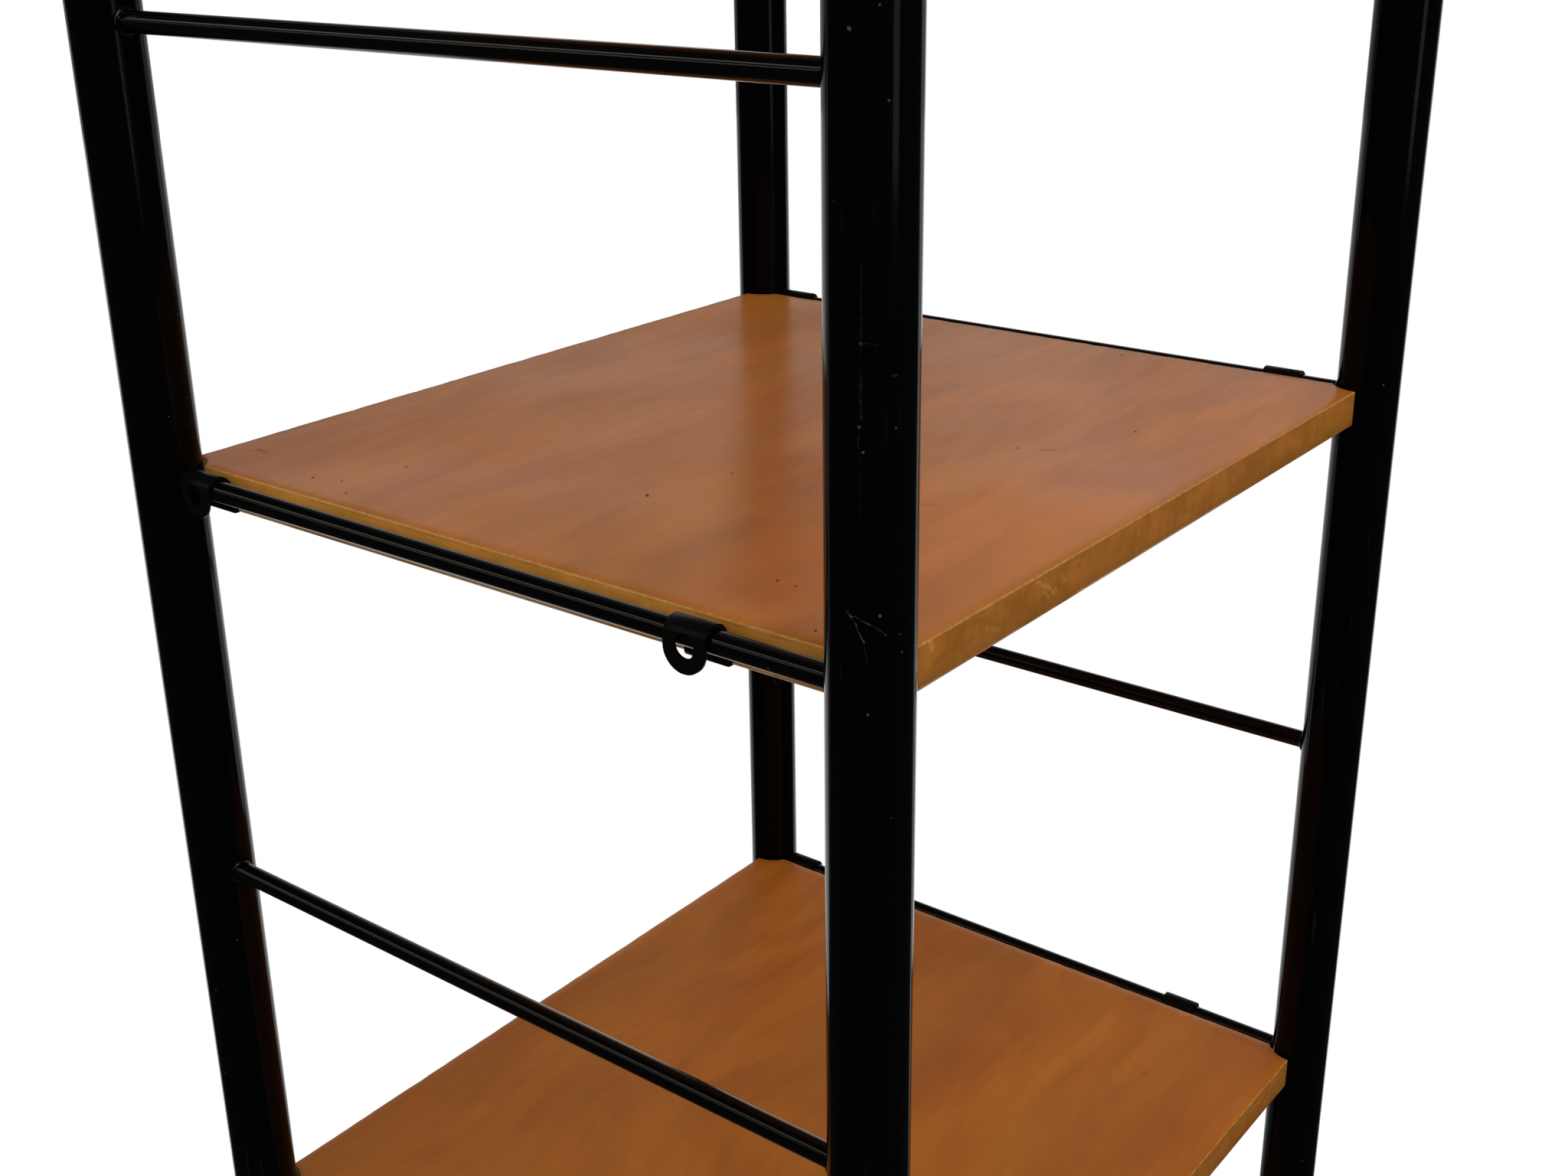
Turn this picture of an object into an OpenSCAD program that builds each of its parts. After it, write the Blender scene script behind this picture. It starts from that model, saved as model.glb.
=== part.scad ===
// One bay of a modular wall bookcase: two ladder frames of black steel tube,
// and five veneered boards that hang between them on strap clips.
// Millimetres. The origin is on the floor in the middle of the bay, +Z is up,
// the front faces -Y, and every height on a shelf is counted from its rung's axis.

/* [Frames] */
// Distance between the left and the right frame, axis to axis
frame_span = 450; // [300:10:900]
// Distance between the front and the back post of a frame, axis to axis
post_span = 400; // [300:10:500]
// Outer diameter of a post
post_d = 32; // [26:1:40]
// Wall of the post's tube
post_wall = 1.5; // [1:0.25:3]
// Height of the lowest rung's axis above the floor
first_rung = 180; // [100:10:300]
// Height of the bookcase above the axis of its highest rung
top_rise = 180; // [40:10:400]

/* [Rungs] */
// Diameter of a rung
rung_d = 9.6; // [8:0.2:12]
// Distance between two rungs of a frame, axis to axis
rung_pitch = 205; // [150:5:260]
// Leg of the weld bead round a rung's end
weld_leg = 1.5; // [0.5:0.25:1.5]

/* [Boards] */
// Thickness of a board
board_t = 18; // [16:1:25]
// Gap between a clip's inner leg and the end of the board
board_end_gap = 2.1; // [1.2:0.1:4]
// Gap between a post and the notch that lets the board's corner past it
notch_gap = 2; // [1:0.5:5]

/* [Clips] */
// Width of the strap that a clip is bent from
clip_w = 20; // [16:1:24]
// Thickness of the strap
clip_t = 1.8; // [1.5:0.1:2.5]
// Gap between the strap and the rung that it hooks over
clip_gap = 0.3; // [0.2:0.1:0.6]
// How far the top of a clip stands above the board
clip_rise = 1.2; // [0.5:0.1:3]
// Inner radius of the bend between a clip's inner leg and its foot
bend_r = 1; // [0.5:0.1:1]
// Distance from the rung's axis down to the centre of the outer tab's round end
tab_drop = 3.2; // [2:0.1:8]
// Diameter of the hole in the outer tab
tab_hole_d = 10; // [6:0.5:11]
// Distance from the rung's axis down to the centre of that hole
tab_hole_drop = 2.2; // [1:0.1:4]
// Distance from the inner leg to the screw in the foot
foot_reach = 14; // [12:1:24]
// How far the foot stands below the board
foot_proud = 0.4; // [0.2:0.1:1]
// Gap round the foot in the recess that is cut for it
recess_gap = 0.3; // [0.2:0.1:1]
// Gap between a front post and the clip next to it
front_clip_gap = 53; // [4:1:70]
// Gap between a back post and the clip next to it
back_clip_gap = 2; // [2:1:40]
// The same gap for the one clip that is set closer to its front post
close_clip_gap = 21; // [4:1:70]

/* [Screws] */
// Diameter of a wood screw
screw_d = 3.8; // [3:0.1:4.4]
// Length of a screw under its head
screw_l = 14; // [10:1:14]
// Diameter of a screw's head
head_d = 7.6; // [6.6:0.2:9]
// Height of a screw's head
head_h = 2.2; // [1.6:0.1:3]
// Gap round a screw in its pilot hole
pilot_gap = 0.1; // [0.05:0.05:0.2]
// Gap round a screw in the clip's foot
foot_hole_gap = 0.5; // [0.2:0.1:0.8]

/* [Caps and glides] */
// Height of the rim of a post's cap
cap_rim = 1.2; // [0.8:0.1:3]
// Height of the dome on top of that rim
cap_dome = 1.8; // [1:0.1:6]
// Height of the glide under a post
glide_h = 6; // [3:1:20]
// Chamfer round the sole of a glide
glide_chamfer = 1; // [0.5:0.25:2]
// Length of the plug that holds a cap or a glide in its post
plug_l = 20; // [10:1:30]
// Wall of that plug
plug_wall = 1.6; // [1:0.1:3]
// Gap between the plug and the tube
plug_gap = 0.15; // [0.05:0.05:0.3]

/* [Hidden] */
// Counts of rungs and boards: a board hangs on every second rung
rung_count = 9;
shelf_count = 5;
rungs_per_shelf = 2;

// Sides of the bay, and ends of a frame
LEFT = -1;
RIGHT = 1;
FRONT = -1;
BACK = 1;
CORNERS = [["front_left", LEFT, FRONT], ["back_left", LEFT, BACK],
           ["front_right", RIGHT, FRONT], ["back_right", RIGHT, BACK]];

// The clip that is set closer to its post is on the fourth board, in front on the right
close_shelf = 4;

// Sizes that follow from the driving dimensions
post_r = post_d / 2;
bore_r = post_r - post_wall;
rung_r = rung_d / 2;
bead_r = rung_r + weld_leg;
height = first_rung + (rung_count - 1) * rung_pitch + top_rise;
cap_h = cap_rim + cap_dome;

// Strap, seen along the rung: radii of its arch, and the stack of board and foot below it
strap_in = rung_r + clip_gap;
strap_out = strap_in + clip_t;
board_top = strap_out - clip_rise;
board_low = board_top - board_t;
foot_low = board_low - foot_proud;
foot_top = foot_low + clip_t;
board_end = strap_out + board_end_gap;
foot_x = strap_out + foot_reach;
board_l = frame_span - 2 * board_end;

// Screw: its point, the cross in its head, and the room left at the end of its pilot hole
point_l = 3;
head_edge = 0.8;
cross_w = 0.9;
cross_l = 4.2;
cross_depth = 1.2;
pilot_over = 1;

// A cut runs this far past the face that it opens
cut = 1;

// Sides of a full circle, and of the large circle that a cap's flat dome is cut from
$fn = 72;
dome_fn = 720;

// Height of a rung's axis, and the rung that a board hangs on
function rung_z(i) = first_rung + (i - 1) * rung_pitch;
function shelf_rung(k) = 1 + (k - 1) * rungs_per_shelf;
function shelf_z(k) = rung_z(shelf_rung(k));

// Gap between a clip and its post, and where that puts the clip's middle
function clip_gap_y(k, side, end) =
    end == BACK ? back_clip_gap
    : (k == close_shelf && side == RIGHT) ? close_clip_gap
    : front_clip_gap;
function clip_y(k, side, end) =
    end * (post_span / 2 - post_r - clip_gap_y(k, side, end) - clip_w / 2);

// Puts a piece on a corner post's axis
module at_post(side, end) {
    translate([side * frame_span / 2, end * post_span / 2, 0]) children();
}

// Puts a clip, or what belongs to it, on its rung with +X pointing inboard
module at_clip(k, side, end) {
    translate([side * frame_span / 2, clip_y(k, side, end), shelf_z(k)])
        rotate([0, 0, side == RIGHT ? 180 : 0])
            children();
}

// Straight tube, open at both ends
module post(side, end) {
    color("#1a1b1e")
        at_post(side, end) translate([0, 0, glide_h]) difference() {
            cylinder(r = post_r, h = height - glide_h - cap_h);
            translate([0, 0, -cut])
                cylinder(r = bore_r, h = height - glide_h - cap_h + 2 * cut);
        }
}

// Rod from post to post, coped to both tubes, with a weld bead round each end
module rung(side, i) {
    color("#131316")
        translate([side * frame_span / 2, 0, rung_z(i)]) difference() {
            union() {
                translate([0, -post_span / 2, 0]) rotate([-90, 0, 0])
                    cylinder(r = rung_r, h = post_span);
                for (end = [FRONT, BACK])
                    translate([0, end * post_span / 2, 0]) rotate([end * 90, 0, 0]) weld_bead();
            }
            for (end = [FRONT, BACK])
                translate([0, end * post_span / 2, -bead_r - cut])
                    cylinder(r = post_r, h = 2 * (bead_r + cut));
        }
}

// Bead on an axis that runs from the middle of the post out along the rung
module weld_bead() {
    cylinder(r = bead_r, h = post_r);
    translate([0, 0, post_r]) cylinder(r1 = bead_r, r2 = rung_r, h = weld_leg);
}

// Board with its corners notched for the posts, and its underside cut for the clips
module board(k) {
    color("#a9683f") difference() {
        translate([-board_l / 2, -post_span / 2, shelf_z(k) + board_low])
            cube([board_l, post_span, board_t]);
        for (c = CORNERS) {
            at_post(c[1], c[2]) translate([0, 0, shelf_z(k) + board_low - cut])
                cylinder(r = post_r + notch_gap, h = board_t + 2 * cut);
            at_clip(k, c[1], c[2]) foot_recess();
            at_clip(k, c[1], c[2]) pilot_hole();
        }
    }
}

// Flat recess for a clip's foot, open at the end of the board
module foot_recess() {
    recess_w = clip_w + 2 * recess_gap;
    translate([0, 0, board_low - cut]) {
        translate([strap_out, -recess_w / 2, 0])
            cube([foot_x - strap_out, recess_w, foot_top - board_low + cut]);
        translate([foot_x, 0, 0])
            cylinder(d = recess_w, h = foot_top - board_low + cut);
    }
}

// Blind hole for a clip's screw
module pilot_hole() {
    translate([foot_x, 0, foot_low])
        cylinder(r = screw_d / 2 + pilot_gap, h = screw_l + pilot_over);
}

// Strap bent over the rung: a tab hangs outside the frame, a leg and a foot hold the board
module clip() {
    color("#232325") difference() {
        union() {
            rotate([90, 0, 0]) linear_extrude(clip_w, center = true) strap_section();
            tab_end();
            translate([foot_x, 0, foot_low]) cylinder(d = clip_w, h = clip_t);
        }
        translate([-strap_out - cut, 0, -tab_hole_drop]) rotate([0, 90, 0])
            cylinder(d = tab_hole_d, h = strap_out + cut);
        translate([foot_x, 0, foot_low - cut])
            cylinder(r = screw_d / 2 + foot_hole_gap, h = clip_t + 2 * cut);
    }
}

// Section of the strap, seen along the rung, without its two round ends
module strap_section() {
    bend_out = bend_r + clip_t;
    difference() {
        circle(r = strap_out);
        circle(r = strap_in);
        translate([-strap_out - cut, -strap_out - cut])
            square([2 * (strap_out + cut), strap_out + cut]);
    }
    translate([-strap_out, -tab_drop]) square([clip_t, tab_drop]);
    translate([strap_in, foot_top + bend_r]) square([clip_t, -foot_top - bend_r]);
    translate([strap_out + bend_r, foot_top + bend_r]) difference() {
        intersection() {
            circle(r = bend_out);
            translate([-bend_out, -bend_out]) square(bend_out);
        }
        circle(r = bend_r);
    }
    translate([strap_out + bend_r, foot_low]) square([foot_reach - bend_r, clip_t]);
}

// Lower half of a disc, which rounds the outer tab
module tab_end() {
    translate([-strap_out, 0, -tab_drop]) intersection() {
        rotate([0, 90, 0]) cylinder(d = clip_w, h = clip_t);
        translate([0, -clip_w / 2, -clip_w / 2]) cube([clip_t, clip_w, clip_w / 2]);
    }
}

// Pan head wood screw, driven up through a clip's foot
module screw() {
    translate([foot_x, 0, foot_low]) difference() {
        rotate_extrude() polygon([
            [0, -head_h], [head_d / 2 - head_edge, -head_h],
            [head_d / 2, -head_h + head_edge], [head_d / 2, 0],
            [screw_d / 2, 0], [screw_d / 2, screw_l - point_l], [0, screw_l]
        ]);
        for (turn = [0, 90])
            rotate([0, 0, turn]) translate([-cross_l / 2, -cross_w / 2, -head_h - cut])
                cube([cross_l, cross_w, cross_depth + cut]);
    }
}

// The four screws of one board
module screws(k) {
    color("#8d8f92")
        for (c = CORNERS) at_clip(k, c[1], c[2]) screw();
}

// Hollow plug inside the tube, from its foot upwards
module plug() {
    plug_r = bore_r - plug_gap;
    difference() {
        cylinder(r = plug_r, h = plug_l);
        translate([0, 0, -cut]) cylinder(r = plug_r - plug_wall, h = plug_l + 2 * cut);
    }
}

// Domed cap on top of a post
module cap(side, end) {
    dome_r = (post_r * post_r + cap_dome * cap_dome) / (2 * cap_dome);
    color("#29292b")
        at_post(side, end) translate([0, 0, height - cap_h]) {
            rotate_extrude() intersection() {
                translate([0, cap_h - dome_r]) circle(r = dome_r, $fn = dome_fn);
                square([post_r, cap_h]);
            }
            translate([0, 0, -plug_l]) plug();
        }
}

// Glide that closes the foot of a post and stands on the floor
module glide(side, end) {
    color("#29292b")
        at_post(side, end) {
            rotate_extrude() polygon([
                [0, 0], [post_r - glide_chamfer, 0], [post_r, glide_chamfer],
                [post_r, glide_h], [0, glide_h]
            ]);
            translate([0, 0, glide_h]) plug();
        }
}

for (c = CORNERS) {
    post(c[1], c[2]);
    cap(c[1], c[2]);
    glide(c[1], c[2]);
}
for (i = [1 : rung_count]) {
    rung(LEFT, i);
    rung(RIGHT, i);
}
for (k = [1 : shelf_count]) {
    board(k);
    screws(k);
    for (c = CORNERS)
        at_clip(k, c[1], c[2]) clip();
}
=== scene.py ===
# %% [markdown]
# # A modular wall bookcase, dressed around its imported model
#
# The real thing is one tall bay: four black steel tubes make two ladder frames, and veneered boards hang
# between them on bent strap clips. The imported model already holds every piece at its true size, so this
# lesson gives each piece a finer mesh and a finish, and never moves anything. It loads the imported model
# first.

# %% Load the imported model
import math

import bmesh
import bpy
from mathutils import Matrix, Vector, noise


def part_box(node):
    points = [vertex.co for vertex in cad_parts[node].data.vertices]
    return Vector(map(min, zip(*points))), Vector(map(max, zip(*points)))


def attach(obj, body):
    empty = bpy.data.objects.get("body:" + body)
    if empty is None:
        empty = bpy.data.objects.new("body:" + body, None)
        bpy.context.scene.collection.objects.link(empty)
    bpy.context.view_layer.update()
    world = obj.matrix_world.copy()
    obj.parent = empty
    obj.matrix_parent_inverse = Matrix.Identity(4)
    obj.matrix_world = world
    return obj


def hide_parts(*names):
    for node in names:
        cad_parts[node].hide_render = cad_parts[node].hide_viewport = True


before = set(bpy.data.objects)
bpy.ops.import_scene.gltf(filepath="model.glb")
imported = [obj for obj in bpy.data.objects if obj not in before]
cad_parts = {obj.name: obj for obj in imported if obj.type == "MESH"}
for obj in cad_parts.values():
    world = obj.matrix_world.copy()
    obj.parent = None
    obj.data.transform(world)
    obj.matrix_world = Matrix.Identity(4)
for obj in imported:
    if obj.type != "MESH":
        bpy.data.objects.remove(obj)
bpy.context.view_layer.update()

# %% [markdown]
# ## Sizes
#
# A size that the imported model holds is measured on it, so the new pieces follow it when it changes. What
# it can't be asked for directly, such as the thickness of a strap, is written here once, in millimetres.

# %% Read the sizes from the frame
MM = 0.001
CORNERS = {"front_left": (-1, -1), "back_left": (-1, 1), "front_right": (1, -1), "back_right": (1, 1)}
SIDES = {"left": -1, "right": 1}
RUNGS = range(1, 10)
SHELVES = range(1, 6)


def middle(node):
    """The middle of a node's box."""
    low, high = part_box(node)
    return (low + high) / 2


post_low, post_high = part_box("post_front_right")
rung_low, rung_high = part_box("right_rung_1")
board_low, board_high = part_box("shelf_1_board")
POST_R = (post_high.x - post_low.x) / 2
POST_X, POST_Y = middle("post_front_right").x, middle("post_back_right").y
TUBE_WALL = 1.5 * MM
WELD_LEG = 1.5 * MM
RUNG_R = (rung_high.z - rung_low.z) / 2 - WELD_LEG
BOARD_SIZE = board_high - board_low


def rung_z(shelf):
    """Height of the rung axis that a shelf hangs on."""
    return middle(f"left_rung_{2 * shelf - 1}").z


BOARD_TOP = board_high.z - rung_z(1)
BOARD_LOW = board_low.z - rung_z(1)
board_mm = [round(length / MM, 1) for length in BOARD_SIZE]
print(f"post r {POST_R / MM:.1f}, rung r {RUNG_R / MM:.2f}, board {board_mm} mm")

# %% [markdown]
# ## The camera
#
# The camera stands where the photographer's eye was: to the left of the bay and in front of it, at the
# height of a standing person, looking down into it. Its place, its turn and its focal length were fitted
# to the posts, rungs and boards in the photograph. The small shift stands for a picture that was cropped
# a little off its centre.

# %% Set the camera
PHOTO_W, PHOTO_H = 2048, 1536
EYE = Vector((-0.701, -0.534, 1.680))
YAW, PITCH, ROLL = math.radians(52.16), math.radians(-21.15), math.radians(-0.77)
FOCAL_PX = 2430
AXIS_RIGHT_PX, AXIS_DOWN_PX = 3.5, -27.3
SENSOR_MM = 36

scene = bpy.context.scene
scene.view_settings.view_transform = "Standard"
camera = bpy.data.objects.new("camera", bpy.data.cameras.new("camera"))
scene.collection.objects.link(camera)
scene.camera = camera
camera.data.sensor_width = SENSOR_MM
camera.data.lens = SENSOR_MM * FOCAL_PX / PHOTO_W
camera.data.shift_x = -AXIS_RIGHT_PX / PHOTO_W
camera.data.shift_y = AXIS_DOWN_PX / PHOTO_W
camera.data.clip_start = 0.02

ahead = Vector((math.sin(YAW) * math.cos(PITCH), math.cos(YAW) * math.cos(PITCH), math.sin(PITCH)))
level = Vector((math.cos(YAW), -math.sin(YAW), 0))
upward = level.cross(ahead)
right = math.cos(ROLL) * level + math.sin(ROLL) * upward
top = -math.sin(ROLL) * level + math.cos(ROLL) * upward
camera.matrix_world = Matrix.Translation(EYE) @ Matrix((right, top, -ahead)).transposed().to_4x4()
print(f"camera lens {camera.data.lens:.1f} mm at {tuple(round(v, 3) for v in EYE)}")

# %% [markdown]
# ## Short names for node work
#
# A material is a tree of nodes joined by links. These helpers add one node and set or link its inputs in
# a line, so that the materials below read as a list of what each finish has.


# %% Node helpers
def connect(tree, node, inputs):
    """Gives a node's inputs, by name or number, a value or another node's output."""
    for name, value in inputs.items():
        if isinstance(value, bpy.types.NodeSocket):
            tree.links.new(value, node.inputs[name])
        else:
            node.inputs[name].default_value = value


def add(tree, kind, inputs=None, **settings):
    """Adds a node with its settings and inputs."""
    node = tree.nodes.new(kind)
    for name, value in settings.items():
        setattr(node, name, value)
    connect(tree, node, inputs or {})
    return node


def calc(tree, operation, a, b=0.0, clamp=False):
    """One sum."""
    return add(tree, "ShaderNodeMath", {0: a, 1: b}, operation=operation, use_clamp=clamp).outputs[0]


def times(tree, a, b):
    """The product of two numbers."""
    return calc(tree, "MULTIPLY", a, b)


def vector_calc(tree, operation, a, b=(0, 0, 0)):
    """One sum on vectors. Its answer is a vector, or a number for DOT_PRODUCT and LENGTH."""
    node = add(tree, "ShaderNodeVectorMath", {0: a, 1: b}, operation=operation)
    return node.outputs["Value" if operation in ("DOT_PRODUCT", "LENGTH") else "Vector"]


def gap(tree, a, b):
    """How far two places are apart."""
    return vector_calc(tree, "LENGTH", vector_calc(tree, "SUBTRACT", a, b))


def fade(tree, value, start, end, low=0.0, high=1.0):
    """low where value is start, high where it is end, and a smooth change between them."""
    places = {"Value": value, "From Min": start, "From Max": end, "To Min": low, "To Max": high}
    return add(tree, "ShaderNodeMapRange", places, interpolation_type="SMOOTHSTEP").outputs["Result"]


def tint(tree, factor, a, b, blend="MIX"):
    """Mixes two colours. The colour sockets of a Mix node are its inputs 6 and 7 and its output 2."""
    node = add(tree, "ShaderNodeMix", {0: factor, 6: a, 7: b}, data_type="RGBA", blend_type=blend)
    return node.outputs[2]


def grain_noise(tree, vector, scale, detail=2.0, stretch=(1, 1, 1), distortion=0.0):
    """Noise from 0 to 1, stretched along an axis by a small number there."""
    mapped = add(tree, "ShaderNodeMapping", {"Vector": vector, "Scale": stretch}).outputs["Vector"]
    inputs = {"Vector": mapped, "Scale": scale, "Detail": detail, "Distortion": distortion}
    return add(tree, "ShaderNodeTexNoise", inputs).outputs["Fac"]


def object_place(tree):
    """Object coordinates, which are the row's own metres, because every object sits at the origin."""
    return add(tree, "ShaderNodeTexCoord").outputs["Object"]


def new_material(name):
    """A material with a Principled BSDF, its tree and that shader."""
    material = bpy.data.materials.new(name)
    material.use_nodes = True
    return material, material.node_tree, material.node_tree.nodes["Principled BSDF"]


def new_group(name, inputs, outputs):
    """An empty shader node group with named sockets, and its entry and exit nodes."""
    group = bpy.data.node_groups.new(name, "ShaderNodeTree")
    for label, kind, value in inputs:
        socket = group.interface.new_socket(label, in_out="INPUT", socket_type=kind)
        socket.default_value = value
    for label in outputs:
        group.interface.new_socket(label, in_out="OUTPUT", socket_type="NodeSocketFloat")
    return group, group.nodes.new("NodeGroupInput"), group.nodes.new("NodeGroupOutput")


def use_group(tree, group, inputs):
    """Places a group in a material, and gives its outputs."""
    return add(tree, "ShaderNodeGroup", inputs, node_tree=group).outputs


def bump(tree, shader, height, distance):
    """Lets a height, from 0 to 1, tilt the shading by that distance in metres."""
    node = add(tree, "ShaderNodeBump", {"Height": height, "Distance": distance})
    tree.links.new(node.outputs["Normal"], shader.inputs["Normal"])


print("node helpers ready")

# %% [markdown]
# ## Effects that several finishes share
#
# Years of use leave the same marks on everything: rubbed lines that run one way, pale specks of dust and
# chips, and a film that isn't quite even. Each is a node group, built once and placed in each material
# with its own scale. A group hands out masks only, and the shader stays in the material.

# %% Rubbed lines, specks and unevenness
VECTOR, NUMBER = "NodeSocketVector", "NodeSocketFloat"
# How often the rubbed places, the soft patches and the orange peel repeat in a metre
RUBBED_SCALE, PATCH_SCALE, PEEL_SCALE = 11.0, 9.0, 420.0


def rubs_group():
    """Thin lines here and there. Stretch holds a small number for the axis that they run along."""
    group, entry, leave = new_group(
        "rubbed lines", [("Vector", VECTOR, (0, 0, 0)), ("Stretch", VECTOR, (1, 1, 1))], ["Mask"])
    stretched = vector_calc(group, "MULTIPLY", entry.outputs["Vector"], entry.outputs["Stretch"])
    lines = fade(group, grain_noise(group, stretched, 1.0, 1.0), 0.66, 0.76)
    patches = fade(group, grain_noise(group, entry.outputs["Vector"], RUBBED_SCALE, 2.0), 0.5, 0.66)
    connect(group, leave, {"Mask": times(group, lines, patches)})
    return group


def specks_group():
    """Small round specks. Cells is how many lie along a metre, Share how many of them are there."""
    group, entry, leave = new_group("specks", [
        ("Vector", VECTOR, (0, 0, 0)), ("Cells", NUMBER, 60.0), ("Share", NUMBER, 0.2),
        ("Size", NUMBER, 0.0005)], ["Mask"])
    cells = add(group, "ShaderNodeTexVoronoi", {
        "Vector": entry.outputs["Vector"], "Scale": entry.outputs["Cells"], "Randomness": 1.0})
    chance = add(group, "ShaderNodeSeparateColor", {"Color": cells.outputs["Color"]})
    largest = times(group, entry.outputs["Size"], entry.outputs["Cells"])
    radius = times(group, chance.outputs["Green"], largest)
    inside = calc(group, "LESS_THAN", cells.outputs["Distance"], radius)
    there = calc(group, "LESS_THAN", chance.outputs["Red"], entry.outputs["Share"])
    connect(group, leave, {"Mask": times(group, inside, there)})
    return group


def uneven_group():
    """Soft patches and a fine orange peel, both from 0 to 1."""
    group, entry, leave = new_group("uneven film", [("Vector", VECTOR, (0, 0, 0))], ["Patches", "Peel"])
    connect(group, leave, {
        "Patches": grain_noise(group, entry.outputs["Vector"], PATCH_SCALE, 4.0),
        "Peel": grain_noise(group, entry.outputs["Vector"], PEEL_SCALE, 1.0)})
    return group


RUBS = rubs_group()
SPECKS = specks_group()
UNEVEN = uneven_group()
print("groups:", [g.name for g in bpy.data.node_groups])

# %% [markdown]
# ## Black enamel
#
# The posts and the rungs are stoved in the same black. It is so dark that its form shows only where it
# mirrors something: a pale rim along each silhouette, where light grazes the tube, and soft bands where
# it faces a window. Those come from the shader and the lights. The material adds what use has left, which
# is rubbed lines along the tube, chips and specks of dust, and a film that is a little uneven.

# %% The enamel of the posts and the rungs
ENAMEL_BLACK = (0.0005, 0.0006, 0.0006, 1)
BARE_GREY = (0.075, 0.077, 0.074, 1)
# How much grey the rubbed lines and the dust let through, and how much duller wear makes the enamel
LINES_SHOW, DUST_SHOW, WORN_DULLER = 0.05, 0.35, 0.4
ENAMEL_PEEL = 0.008 * MM
# Nearly all of a noise lies between these
MOST = (0.3, 0.7)


def black_enamel(name, level, stretch, smooth, rough, marks=None):
    """Enamel that mirrors at a level, with a roughness from smooth to rough. stretch is for the rubbed
    lines, and marks adds masks of single scratches."""
    material, tree, shader = new_material(name)
    place = object_place(tree)
    film = use_group(tree, UNEVEN, {"Vector": place})
    lines = use_group(tree, RUBS, {"Vector": place, "Stretch": stretch})["Mask"]
    dust = use_group(tree, SPECKS, {"Vector": place, "Cells": 90.0, "Share": 0.35, "Size": 0.6 * MM})
    worn = calc(tree, "MAXIMUM", times(tree, lines, LINES_SHOW), times(tree, dust["Mask"], DUST_SHOW))
    for mark in (marks(tree, place) if marks else []):
        worn = calc(tree, "MAXIMUM", worn, mark)
    gloss = fade(tree, film["Patches"], *MOST, smooth, rough)
    connect(tree, shader, {
        "Base Color": tint(tree, worn, ENAMEL_BLACK, BARE_GREY),
        "Roughness": calc(tree, "ADD", gloss, times(tree, worn, WORN_DULLER)),
        "Specular IOR Level": level})
    bump(tree, shader, film["Peel"], ENAMEL_PEEL)
    return material


# %% [markdown]
# ## Marks that everybody sees
#
# The front left post has a forked scratch at eye level, a rubbed line above it, and a few chips near
# them. Each stroke is a short line on the side of the tube that faces the camera. The place on the tube
# is turned so that its second axis runs across the tube and its third goes up, and a group then measures
# how far a point lies from a stroke. The strength says how much grey shows through.

# %% Strokes and chips on the front left post
# Start and end, across the tube and up from the floor in millimetres, half the width and the strength
POST_STROKES = [((-8.0, 1444.4), (-6.3, 1443.0), 0.35, 0.5), ((-6.3, 1443.0), (-3.2, 1436.0), 0.2, 0.34),
                ((-3.2, 1436.0), (-1.9, 1433.3), 0.2, 0.4), ((-1.9, 1433.3), (-1.2, 1426.0), 0.16, 0.14),
                ((-6.3, 1443.0), (-1.7, 1441.9), 0.18, 0.28), ((-1.7, 1441.9), (2.0, 1439.5), 0.2, 0.32),
                ((2.0, 1439.5), (5.1, 1436.8), 0.24, 0.38), ((-3.6, 1561), (-3.3, 1535), 0.35, 0.05),
                ((-3.3, 1535.3), (2.6, 1535.0), 0.3, 0.05), ((-3.4, 1525), (-3.3, 1511), 0.55, 0.07),
                ((-4.0, 1508.6), (-4.0, 1501), 0.35, 0.06), ((-3.7, 1500), (-3.7, 1479), 0.4, 0.02),
                ((-9.9, 1425.4), (-9.9, 1419.5), 0.2, 0.08), ((6.2, 1524.9), (8.2, 1524.6), 0.5, 0.09)]
# Across and up, radius and strength
POST_CHIPS = [(-3.4, 1535.3, 0.9, 0.2), (-3.7, 1508.6, 0.7, 0.4), (-2.6, 1500.3, 0.6, 0.7),
              (2.9, 1443.7, 0.7, 0.55), (10.2, 1435.9, 0.5, 0.35), (10.2, 1429.1, 0.45, 0.35),
              (-0.9, 1407.9, 0.6, 0.6), (-6.8, 1630.2, 0.8, 0.5), (2.0, 1636.8, 0.6, 0.4),
              (4.7, 1609.5, 0.6, 0.3)]
# Direction from the post towards the camera, as an angle from +X
SCRATCH_SIDE = math.radians(-145)
# A stroke starts to show at the first share of its half width, and a stroke or a chip is full at the second
MARK_START, MARK_FULL = 1.3, 0.4
# How often the noise that ruffles the marks repeats in a metre, and how far it moves those of the post
RUFFLE_SCALE, POST_RUFFLE = 260.0, 1.6 * MM
# How often the noise that breaks up the strokes of the post repeats
BREAK_SCALE = 520.0


def stroke_group():
    """How far a point lies from the line between two places."""
    group, entry, leave = new_group("stroke", [
        ("Vector", VECTOR, (0, 0, 0)), ("From", VECTOR, (0, 0, 0)), ("To", VECTOR, (0, 0, 0))],
        ["Distance"])
    along = vector_calc(group, "SUBTRACT", entry.outputs["To"], entry.outputs["From"])
    offset = vector_calc(group, "SUBTRACT", entry.outputs["Vector"], entry.outputs["From"])
    share = calc(group, "DIVIDE", vector_calc(group, "DOT_PRODUCT", offset, along),
                 vector_calc(group, "DOT_PRODUCT", along, along), clamp=True)
    step = add(group, "ShaderNodeVectorMath", {0: along, "Scale": share}, operation="SCALE")
    connect(group, leave, {"Distance": gap(group, offset, step.outputs["Vector"])})
    return group


STROKE = stroke_group()


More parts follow.
